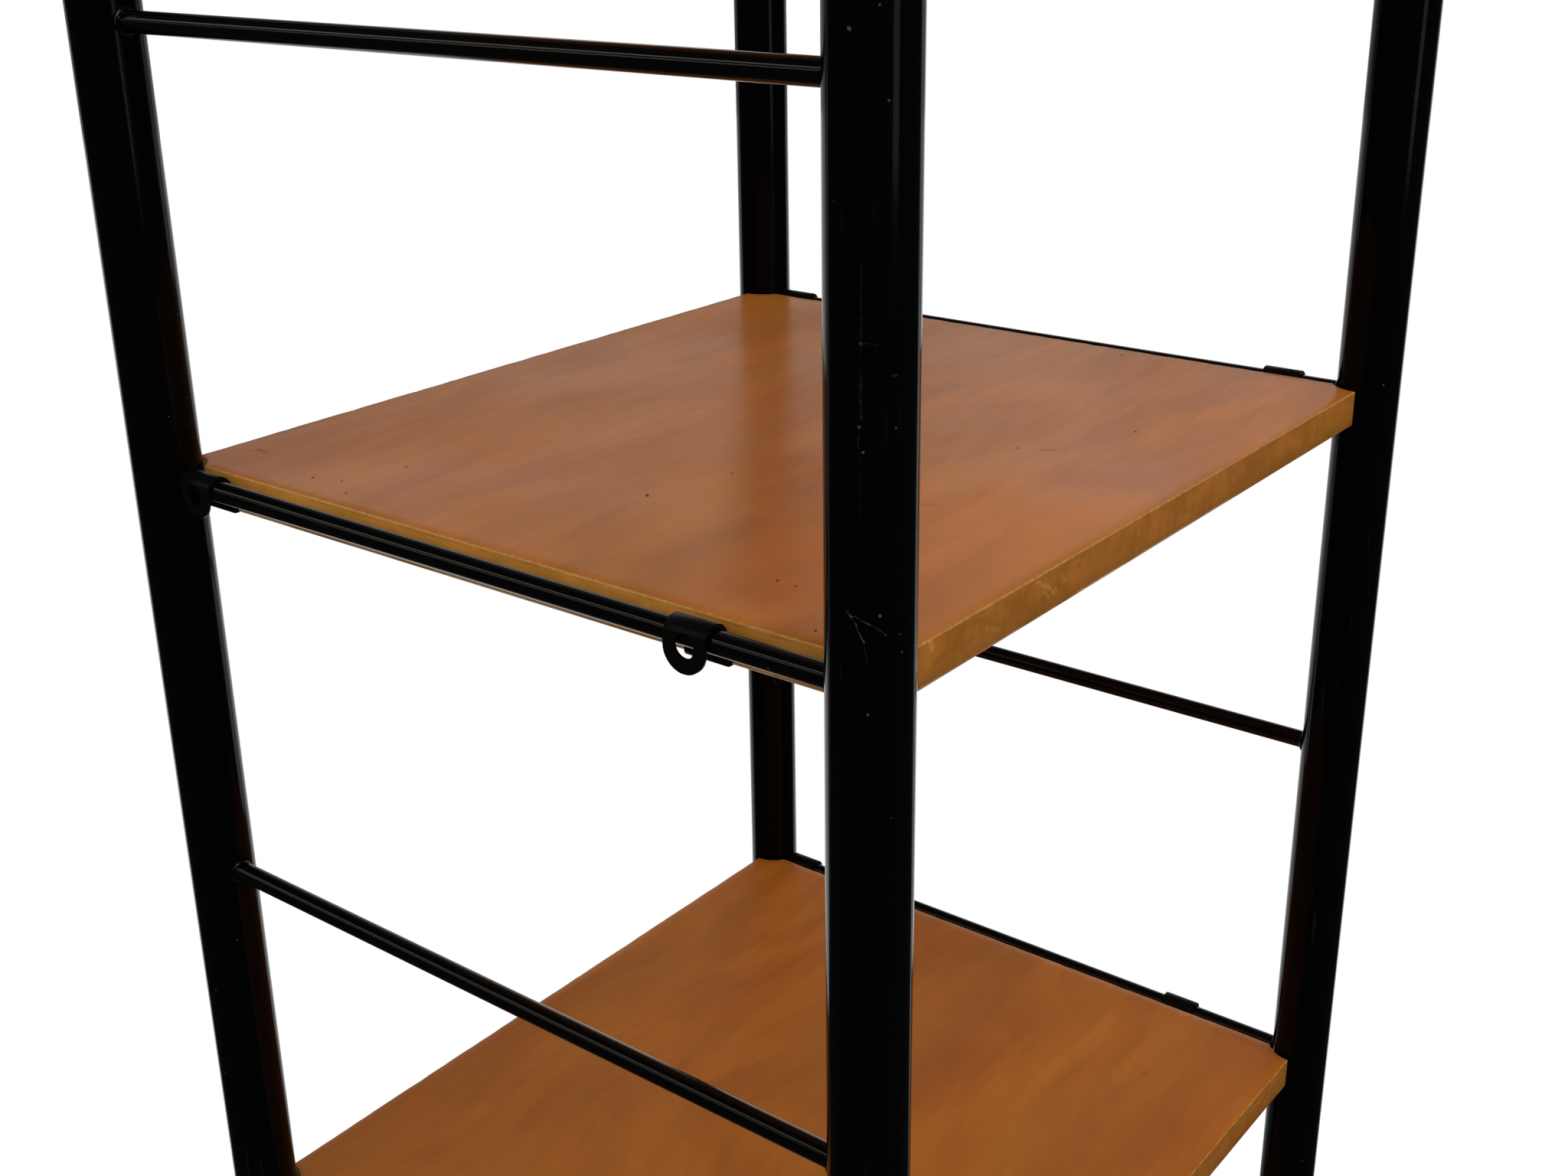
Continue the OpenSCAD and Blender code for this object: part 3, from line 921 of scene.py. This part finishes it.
def make_rung():
    """A rung along Y with its two welds."""
    reach = POST_Y - POST_R
    ends = [(POST_Y, RUNG_R + WELD_LEG)]
    for step in range(WELD_STEPS + 1):
        angle = step / WELD_STEPS * math.pi / 2
        ends.append((reach - WELD_LEG * (1 - math.cos(angle)), RUNG_R + WELD_LEG * (1 - math.sin(angle))))
    profile = [(-y, r) for y, r in ends] + [(y, r) for y, r in reversed(ends)]
    rung = turned("rung", profile, RUNG_SIDES)
    for vertex in rung.data.vertices:
        radius = vertex.co.xy.length
        if radius > RUNG_R + RIPPLE_START:
            vertex.co.xy *= 1 + WELD_RIPPLE / radius * noise.noise(vertex.co * RIPPLE_SCALE)
    rung.rotation_euler = (math.pi / 2, 0, 0)
    bake_place(rung)
    height = 4 * (RUNG_R + WELD_LEG)
    cut_away(rung, [rod(POST_R - SINK, height, (0, end * POST_Y, 0), sides=POST_SIDES) for end in (-1, 1)])
    smooth(rung, 40)
    return rung


rung = make_rung()
for side, sign in SIDES.items():
    for i in RUNGS:
        node = f"{side}_rung_{i}"
        piece = copy_of(rung, f"rung_{side}_{i}", (sign * POST_X, 0, middle(node).z))
        dress(piece, node, "frames", "rung_enamel", RUNG_ENAMEL)
discard(rung)
print("rungs:", 2 * len(RUNGS), "of", len(piece.data.polygons), "faces")

# %% [markdown]
# ## Clips
#
# A clip is a steel strap, bent. A flat strip stands for its middle surface: the tab hangs down outside
# the frame, spin carries its upper edge over the rung, extrude draws the leg down, a second spin turns it
# under the board and a last extrude makes the foot. The round ends are rows that get narrower. Solidify
# gives the strip its thickness, rods cut the two holes, and a small bevel breaks the sheared edges.

# %% Make the clips
STRAP_T, STRAP_W, STRAP_EDGE = 1.8 * MM, 20 * MM, 0.22 * MM
ARCH_R, ARCH_STEPS = 6.0 * MM, 28
TAB_DROP, FOOT_X, FOOT_Z = 3.2 * MM, 20.9 * MM, -11.8 * MM
BEND_R, BEND_STEPS = 1.9 * MM, 8
TAB_HOLE_R, TAB_HOLE_Z, SCREW_HOLE_R = 5 * MM, -2.2 * MM, 2.4 * MM
END_ROWS = 12
# Points nearer than this are one
TINY = 0.01 * MM


def round_end(direction):
    """Draws out the selected edge into half a disc along direction, in rows that get narrower."""
    radius = STRAP_W / 2
    reached, width = 0.0, 1.0
    for row in range(1, END_ROWS):
        angle = row / END_ROWS * math.pi / 2
        extrude(direction * (radius * math.sin(angle) - reached))
        bpy.ops.transform.resize(value=(1, math.cos(angle) / width, 1), center_override=(0, 0, 0))
        reached, width = radius * math.sin(angle), math.cos(angle)


def make_clip():
    """A clip on a rung that lies along Y, with its foot towards +X."""
    bpy.ops.object.select_all(action="DESELECT")
    bpy.ops.mesh.primitive_plane_add(
        size=1, location=(-ARCH_R, 0, -TAB_DROP / 2), rotation=(0, math.pi / 2, 0))
    clip = bpy.context.object
    clip.name = "clip"
    clip.scale = (TAB_DROP, STRAP_W, 1)
    bake_place(clip)
    edit(clip)
    pick(clip, lambda v: v.co.z > -TAB_DROP / 2)
    bpy.ops.mesh.spin(steps=ARCH_STEPS, angle=-math.pi, center=(0, 0, 0), axis=(0, 1, 0))
    extrude((0, 0, FOOT_Z + BEND_R))
    bend_centre = (ARCH_R + BEND_R, 0, FOOT_Z + BEND_R)
    bpy.ops.mesh.spin(steps=BEND_STEPS, angle=math.pi / 2, center=bend_centre, axis=(0, 1, 0))
    extrude((FOOT_X - ARCH_R - BEND_R, 0, 0))
    round_end(Vector((1, 0, 0)))
    pick(clip, lambda v: v.co.x < 0 and v.co.z < -TAB_DROP + TINY)
    round_end(Vector((0, 0, -1)))
    bpy.ops.mesh.select_all(action="SELECT")
    bpy.ops.mesh.remove_doubles(threshold=TINY)
    bpy.ops.mesh.normals_make_consistent(inside=False)
    bpy.ops.object.mode_set(mode="OBJECT")
    apply(clip, "SOLIDIFY", thickness=STRAP_T, offset=0.0, use_even_offset=True)
    outside = (-(ARCH_R + STRAP_T) / 2, 0, TAB_HOLE_Z)
    across_tab = rod(TAB_HOLE_R, ARCH_R + STRAP_T, outside, (0, math.pi / 2, 0))
    through_foot = rod(SCREW_HOLE_R, 4 * STRAP_T, (FOOT_X, 0, FOOT_Z), sides=40)
    cut_away(clip, [across_tab, through_foot])
    apply(clip, "BEVEL", width=STRAP_EDGE, segments=2, limit_method="ANGLE", angle_limit=math.radians(45))
    smooth(clip, 40)
    return clip


clip = make_clip()
for shelf in SHELVES:
    for corner in CORNERS:
        piece = at_clip(clip, f"clip_{shelf}_{corner}", shelf, corner)
        dress(piece, f"shelf_{shelf}_clip_{corner}", f"shelf_{shelf}", "clip_black", CLIP_BLACK)
print("clips:", len(SHELVES) * len(CORNERS), "of", len(piece.data.polygons), "faces")

# %% [markdown]
# ## Screws
#
# A pan head screw goes up through each foot into the board. Its head is turned with a soft dome, and two
# thin blocks cut the cross. The four screws of a board are one piece, as they share one node.

# %% Make the screws
HEAD_BASE = FOOT_Z - STRAP_T / 2
CROSS_W, CROSS_L, CROSS_DEPTH = 0.9 * MM, 4.2 * MM, 1.2 * MM
# Height and radius in millimetres, from the middle of the dome round the head, and then up the shank
HEAD_H = 2.2
HEAD = [(-HEAD_H, 0.9), (-2.18, 1.7), (-2.05, 2.6), (-1.75, 3.3), (-1.3, 3.7), (-0.8, 3.8), (0, 3.8),
        (0, 1.9)]
SHANK = [(11, 1.9), (14, 0.25)]


def make_screw():
    """A screw with its head under the foot of a clip."""
    screw = turned("screw", [(z * MM, r * MM) for z, r in HEAD + SHANK], 48)
    for size in ((CROSS_L, CROSS_W), (CROSS_W, CROSS_L)):
        cut_away(screw, [block((*size, 2 * CROSS_DEPTH), (0, 0, -HEAD_H * MM))])
    smooth(screw, 35)
    screw.data.transform(Matrix.Translation((FOOT_X, 0, HEAD_BASE)))
    return screw


screw = make_screw()
for shelf in SHELVES:
    four = [at_clip(screw, f"screws_{shelf}", shelf, corner) for corner in CORNERS]
    only(four[0])
    for one in four:
        one.select_set(True)
    bpy.ops.object.join()
    dress(four[0], f"shelf_{shelf}_screws", f"shelf_{shelf}", "screw_zinc", SCREW_ZINC)
discard(screw, clip)
print("screws:", len(SHELVES) * len(CORNERS))

# %% [markdown]
# ## Boards
#
# A board starts as a cube at its size. Four rods cut its corners out round the posts, and a small bevel
# breaks the arris. Planes then bisect it into cells, so that its edges have points to wear down, and
# noise eats a little into the upper arris, as knocks do. Last, the underside is cut for the clips. One
# board has its front right clip nearer to the post, so there are two patterns.

# %% Shape a board
NOTCH_R = POST_R + 2 * MM
ARRIS = 0.45 * MM
# How far knocks wear the upper arris, how often their noise repeats in a metre, and how much they lead
ARRIS_WEAR, KNOCK_SCALE, KNOCK_LEAD = 0.22 * MM, 260, 0.15
CELL = 6 * MM
RECESS_GAP, SEAT_SIDES, PILOT_R, PILOT_L = 0.3 * MM, 72, 2.0 * MM, 15 * MM


def bisect_cells(slab):
    """Cuts the slab into cells with upright planes, which leave its shape as it is."""
    edit(slab, "FACE")
    for axis, length in ((Vector((1, 0, 0)), BOARD_SIZE.x), (Vector((0, 1, 0)), BOARD_SIZE.y)):
        count = round(length / CELL)
        for step in range(1, count):
            bpy.ops.mesh.select_all(action="SELECT")
            place = axis * (step / count - 0.5) * length
            bpy.ops.mesh.bisect(plane_co=place, plane_no=axis)
    bpy.ops.object.mode_set(mode="OBJECT")


def board_slab():
    """The slab with its four notches and its broken edges."""
    centre = (BOARD_TOP + BOARD_LOW) / 2
    slab = block(BOARD_SIZE, (0, 0, centre))
    cut_away(slab, [rod(NOTCH_R, 3 * BOARD_SIZE.z, (side * POST_X, end * POST_Y, centre), sides=96)
                    for side, end in CORNERS.values()])
    edit(slab)
    bpy.ops.mesh.select_all(action="SELECT")
    bpy.ops.mesh.remove_doubles(threshold=0.02 * MM)
    bpy.ops.object.mode_set(mode="OBJECT")
    apply(slab, "BEVEL", width=ARRIS, segments=2, limit_method="ANGLE", angle_limit=math.radians(50))
    bisect_cells(slab)
    return slab


def wear_arris(slab):
    """Moves the points of the upper arris in and down a little, by noise."""
    reach = 1.1 * ARRIS
    inner = Vector((BOARD_SIZE.x / 2 - reach, BOARD_SIZE.y / 2 - reach))
    for vertex in slab.data.vertices:
        x, y, z = vertex.co
        on_edge = abs(x) > inner.x or abs(y) > inner.y
        if on_edge and z > BOARD_TOP - reach:
            worn = ARRIS_WEAR * max(0.0, noise.noise(vertex.co * KNOCK_SCALE) + KNOCK_LEAD)
            vertex.co.z -= worn
            vertex.co.x -= math.copysign(worn, x) if abs(x) > inner.x else 0
            vertex.co.y -= math.copysign(worn, y) if abs(y) > inner.y else 0


def seat_cutter(side, y, ceiling, depth):
    """A rod whose outer half is drawn out past the end of the board."""
    foot = side * (POST_X - FOOT_X)
    half_step = math.pi / SEAT_SIDES
    place = (foot, y, ceiling - depth / 2)
    cutter = rod(STRAP_W / 2 + RECESS_GAP, depth, place, (0, 0, half_step), SEAT_SIDES)
    edit(cutter)
    pick(cutter, lambda v: side * (v.co.x - foot) > 0)
    bpy.ops.transform.translate(value=(side * 2 * ARCH_R, 0, 0))
    bpy.ops.object.mode_set(mode="OBJECT")
    return cutter


def cut_recesses(slab, places):
    """Cuts a flat seat for each clip's foot and a pilot hole for its screw. A place is (side, y)."""
    ceiling = FOOT_Z + STRAP_T / 2
    depth = 2 * (ceiling - BOARD_LOW)
    cut_away(slab, [seat_cutter(side, y, ceiling, depth) for side, y in places])
    foot = POST_X - FOOT_X
    cut_away(slab, [rod(PILOT_R, PILOT_L, (side * foot, y, ceiling), sides=32) for side, y in places])


print("board size in mm:", board_mm)

# %% [markdown]
# ## Which finish each face of a board has
#
# The faces are told apart by their normal and their place, as a joiner would: the ones in the recesses show
# the pressed core, the other upright ones carry an edge strip, and the rest is veneer.

# %% Finish the boards
# The board's four materials in the order of their numbers
BOARD_MATERIALS = (VENEER, LONG_EDGE, SHORT_EDGE, CORE)
VENEER_SLOT, LONG_SLOT, SHORT_SLOT, CORE_SLOT = range(4)
# The ceilings of the recesses lie above the first level, and their walls below the second
CEILING_LEVEL, WALL_LEVEL = BOARD_LOW + 0.3 * MM, BOARD_LOW + 2 * MM
# All recesses lie this near to the middle of the board
RECESS_REACH = 0.17


def board_slot(face):
    """The number of a face's material, from its normal and place."""
    x, y, z = abs(face.center.x), abs(face.center.y), face.center.z
    upright = abs(face.normal.z) < 0.98
    ceiling = face.normal.z < -0.5 and z > CEILING_LEVEL
    by_clips = BOARD_SIZE.x / 2 - NOTCH_R < x < BOARD_SIZE.x / 2 - 2 * ARRIS and y < RECESS_REACH
    if ceiling or (upright and z < WALL_LEVEL and by_clips):
        return CORE_SLOT
    if upright:
        return SHORT_SLOT if abs(face.normal.x) > 0.7 else LONG_SLOT
    return VENEER_SLOT


def finish_board(slab):
    """Gives each face the number of its material, and writes how far up each point lies."""
    for face in slab.data.polygons:
        face.material_index = board_slot(face)
    across = slab.data.attributes.new("across", "FLOAT", "POINT")
    for vertex, value in zip(slab.data.vertices, across.data):
        value.value = (vertex.co.z - BOARD_LOW) / BOARD_SIZE.z
    smooth(slab, 30)


patterns = {}
for shelf in SHELVES:
    spots = tuple((side, round(middle(f"shelf_{shelf}_clip_{corner}").y, 4))
                  for corner, (side, end) in CORNERS.items())
    if spots not in patterns:
        patterns[spots] = board_slab()
        wear_arris(patterns[spots])
        cut_recesses(patterns[spots], spots)
        finish_board(patterns[spots])
    board = copy_of(patterns[spots], f"board_{shelf}", (0, 0, rung_z(shelf)))
    dress(board, f"shelf_{shelf}_board", f"shelf_{shelf}", "shelf_veneer", *BOARD_MATERIALS)
discard(*patterns.values())
print("boards:", len(SHELVES), "from", len(patterns), "patterns, of", len(board.data.polygons), "faces")

# %% [markdown]
# ## Caps and glides
#
# A moulded cap closes the top of each post with a low dome, and a glide with a rounded edge stands on the
# floor. Both are turned pieces with a plug that goes into the tube.

# %% Make the caps and the glides
CAP_RIM, CAP_DOME, PLUG_L = 1.2 * MM, 1.8 * MM, 20 * MM
PLUG_R, PLUG_CHAMFER = POST_R - TUBE_WALL - 0.15 * MM, 0.5 * MM
# The rounding of the cap's lower edge: height, and how far in from the post's side, in millimetres
CAP_EDGE = ((0, 0.3), (0.15, 0.08), (0.4, 0))
# The rows of the dome, as shares of the post's radius
DOME_ROWS = (0.985, 0.9, 0.75, 0.55, 0.35, 0.15, 0.03)
SOLE_EDGE, SOLE_STEPS, GLIDE_EDGE = 1 * MM, 5, 0.2 * MM
MOULDED_SIDES = 96


def make_cap():
    """A cap that stands on the end of a tube at height 0."""
    dome_r = (POST_R ** 2 + CAP_DOME ** 2) / (2 * CAP_DOME)
    top_z = CAP_RIM + CAP_DOME
    profile = [(-PLUG_L, PLUG_R - PLUG_CHAMFER), (-PLUG_L + PLUG_CHAMFER, PLUG_R), (0, PLUG_R)]
    profile += [(height * MM, POST_R - inset * MM) for height, inset in CAP_EDGE]
    profile.append((CAP_RIM - 0.3 * MM, POST_R))
    for share in DOME_ROWS:
        radius = POST_R * share
        profile.append((top_z - dome_r + math.sqrt(dome_r ** 2 - radius ** 2), radius))
    cap = turned("cap", profile, MOULDED_SIDES)
    smooth(cap, 40)
    return cap


def make_glide(height):
    """A glide of this height, on the floor."""
    profile = [(0, POST_R - SOLE_EDGE)]
    for step in range(1, SOLE_STEPS + 1):
        angle = step / SOLE_STEPS * math.pi / 2
        profile.append((SOLE_EDGE * (1 - math.cos(angle)), POST_R - SOLE_EDGE * (1 - math.sin(angle))))
    profile += [(height - GLIDE_EDGE, POST_R), (height, POST_R - GLIDE_EDGE), (height, PLUG_R),
                (height + PLUG_L, PLUG_R)]
    glide = turned("glide", profile, MOULDED_SIDES)
    smooth(glide, 40)
    return glide


cap, glide = make_cap(), make_glide(post_low.z)
for corner in CORNERS:
    top_cap = at_post(cap, f"cap_dome_{corner}", corner, post_high.z)
    dress(top_cap, f"cap_{corner}", "frames", "black_plastic", MOULDED_BLACK)
    foot_glide = at_post(glide, f"glide_foot_{corner}", corner)
    dress(foot_glide, f"glide_{corner}", "frames", "black_plastic", MOULDED_BLACK)
discard(cap, glide)
print("caps and glides:", 2 * len(CORNERS))

# %% [markdown]
# ## Floor, backdrop and light
#
# The photograph has a pure white background. The world is white to the camera, and gives a plain soft
# light to everything else. In mirrors it is a studio. A white backdrop stands behind the bookcase,
# brightest a little above eye level and towards the right, and the room behind the photographer is dark,
# which is why the black tubes stay black and have pale rims. The floor is a large pale disc that keeps
# the bookcase's shadow near its feet and turns white further out, and in mirrors it is white only in
# front of the backdrop. Soft lamps stand where the photograph shows their light: two large ones in front
# and above, a window far in front, whose line the posts carry, and two thin warm ones high up on the
# left, whose lines the rungs carry.

# %% Set the stage
WHITE = (1, 1, 1, 1)
WORLD_LEVEL, DARK_ROOM = 0.9, 0.03
FLOOR_R, FLOOR_DROP = 12.0, 0.3 * MM
# The way to the backdrop, the way to its right, and the cosines between which it ends
BACKDROP_SIDE = math.radians(41)
BACKDROP_WAY = (math.cos(BACKDROP_SIDE), math.sin(BACKDROP_SIDE), 0)
BACKDROP_RIGHT = (math.sin(BACKDROP_SIDE), -math.cos(BACKDROP_SIDE), 0)
BACKDROP_EDGE = (0.5, 0.65)
# Its brightness goes from the third number to the fourth, between two sines of height or of the way right
BRIGHTENS, DIMS, BRIGHTER_RIGHT = (0.18, 0.3, 0.5, 1.0), (0.3, 0.5, 1.0, 0.12), (0.05, 0.33, 1.0, 1.3)
# Between which distances the floor turns white to the camera, and in mirrors
SEEN_WHITE, MIRRORED_WHITE = (0.35, 1.0), (0.8, 1.8)
WARM = (1.0, 0.96, 0.8)


def glow(tree, kind, strength):
    """White light from a Background or an Emission node."""
    return add(tree, kind, {"Color": WHITE, "Strength": strength}).outputs[0]


def either(tree, factor, a, b):
    """Shader a where the factor is 0, and b where it is 1."""
    return add(tree, "ShaderNodeMixShader", {0: factor, 1: a, 2: b}).outputs["Shader"]


def mirrored(tree, path):
    """1 for a ray that comes from a mirror or through glass."""
    return calc(tree, "MAXIMUM", path["Is Glossy Ray"], path["Is Transmission Ray"])


def to_backdrop(tree, way):
    """1 where a direction points to the backdrop."""
    return fade(tree, vector_calc(tree, "DOT_PRODUCT", way, BACKDROP_WAY), *BACKDROP_EDGE)


def make_world():
    """White to the camera, the studio in mirrors, and plain light for everything else."""
    world = bpy.data.worlds.new("studio")
    scene.world = world
    world.use_nodes = True
    tree = world.node_tree
    tree.nodes.clear()
    path = add(tree, "ShaderNodeLightPath").outputs
    way = add(tree, "ShaderNodeTexCoord").outputs["Generated"]
    height = add(tree, "ShaderNodeSeparateXYZ", {0: way}).outputs["Z"]
    rise = times(tree, fade(tree, height, *BRIGHTENS), fade(tree, height, *DIMS))
    right_gain = fade(tree, vector_calc(tree, "DOT_PRODUCT", way, BACKDROP_RIGHT), *BRIGHTER_RIGHT)
    screen = times(tree, times(tree, to_backdrop(tree, way), rise), right_gain)
    kind = "ShaderNodeBackground"
    studio = glow(tree, kind, calc(tree, "MAXIMUM", screen, DARK_ROOM))
    unseen = either(tree, mirrored(tree, path), glow(tree, kind, WORLD_LEVEL), studio)
    seen = either(tree, path["Is Camera Ray"], unseen, glow(tree, kind, 1.0))
    add(tree, "ShaderNodeOutputWorld", {"Surface": seen})


def make_floor():
    """A pale disc just under the glides."""
    bpy.ops.object.select_all(action="DESELECT")
    bpy.ops.mesh.primitive_circle_add(
        vertices=96, radius=FLOOR_R, fill_type="NGON", location=(0, 0, -FLOOR_DROP))
    floor = bpy.context.object
    floor.name = "floor"
    bake_place(floor)
    material, tree, shader = new_material("pale floor")
    connect(tree, shader, {"Base Color": (0.8, 0.8, 0.8, 1), "Roughness": 0.9, "Specular IOR Level": 0.1})
    place = object_place(tree)
    path = add(tree, "ShaderNodeLightPath").outputs
    distance = vector_calc(tree, "LENGTH", place)
    behind = times(tree, to_backdrop(tree, vector_calc(tree, "NORMALIZE", place)),
                   fade(tree, distance, *MIRRORED_WHITE))
    kind = "ShaderNodeEmission"
    paper = glow(tree, kind, calc(tree, "MAXIMUM", behind, DARK_ROOM))
    unseen = either(tree, mirrored(tree, path), shader.outputs["BSDF"], paper)
    far_and_seen = times(tree, fade(tree, distance, *SEEN_WHITE), path["Is Camera Ray"])
    surface = either(tree, far_and_seen, unseen, glow(tree, kind, 1.0))
    connect(tree, tree.nodes["Material Output"], {"Surface": surface})
    floor.data.materials.append(material)


def lamp(name, place, target, size, brightness, colour=(1, 1, 1)):
    """A soft rectangular lamp. A brightness of 1 is as bright as the white background."""
    light = bpy.data.lights.new(name, "AREA")
    light.shape = "RECTANGLE"
    light.color = colour
    light.size, light.size_y = size
    light.energy = brightness * math.pi * size[0] * size[1]
    holder = bpy.data.objects.new(name, light)
    holder.location = place
    holder.rotation_euler = (Vector(target) - Vector(place)).to_track_quat("-Z", "Y").to_euler()
    holder.visible_camera = False
    scene.collection.objects.link(holder)


make_world()
make_floor()
lamp("key", (-0.35, -1.5, 3.4), (0, 0, 1.2), (2.0, 2.0), 2.2)
lamp("front", (-0.3, -2.6, 3.0), (0, 0, 1.3), (2.0, 1.6), 2.5)
lamp("window", (-0.52, -5.8, 1.75), (-0.2, 0, 1.6), (1.4, 2.2), 1.6)
lamp("rung line", (-1.72, 1.3, 2.7), (-0.22, 1.3, 1.4), (2.4, 0.24), 2.6, WARM)
lamp("low rung line", (-2.1, 1.7, 2.2), (0.22, 1.7, 1.3), (1.2, 0.16), 2.2, WARM)
print("stage ready")
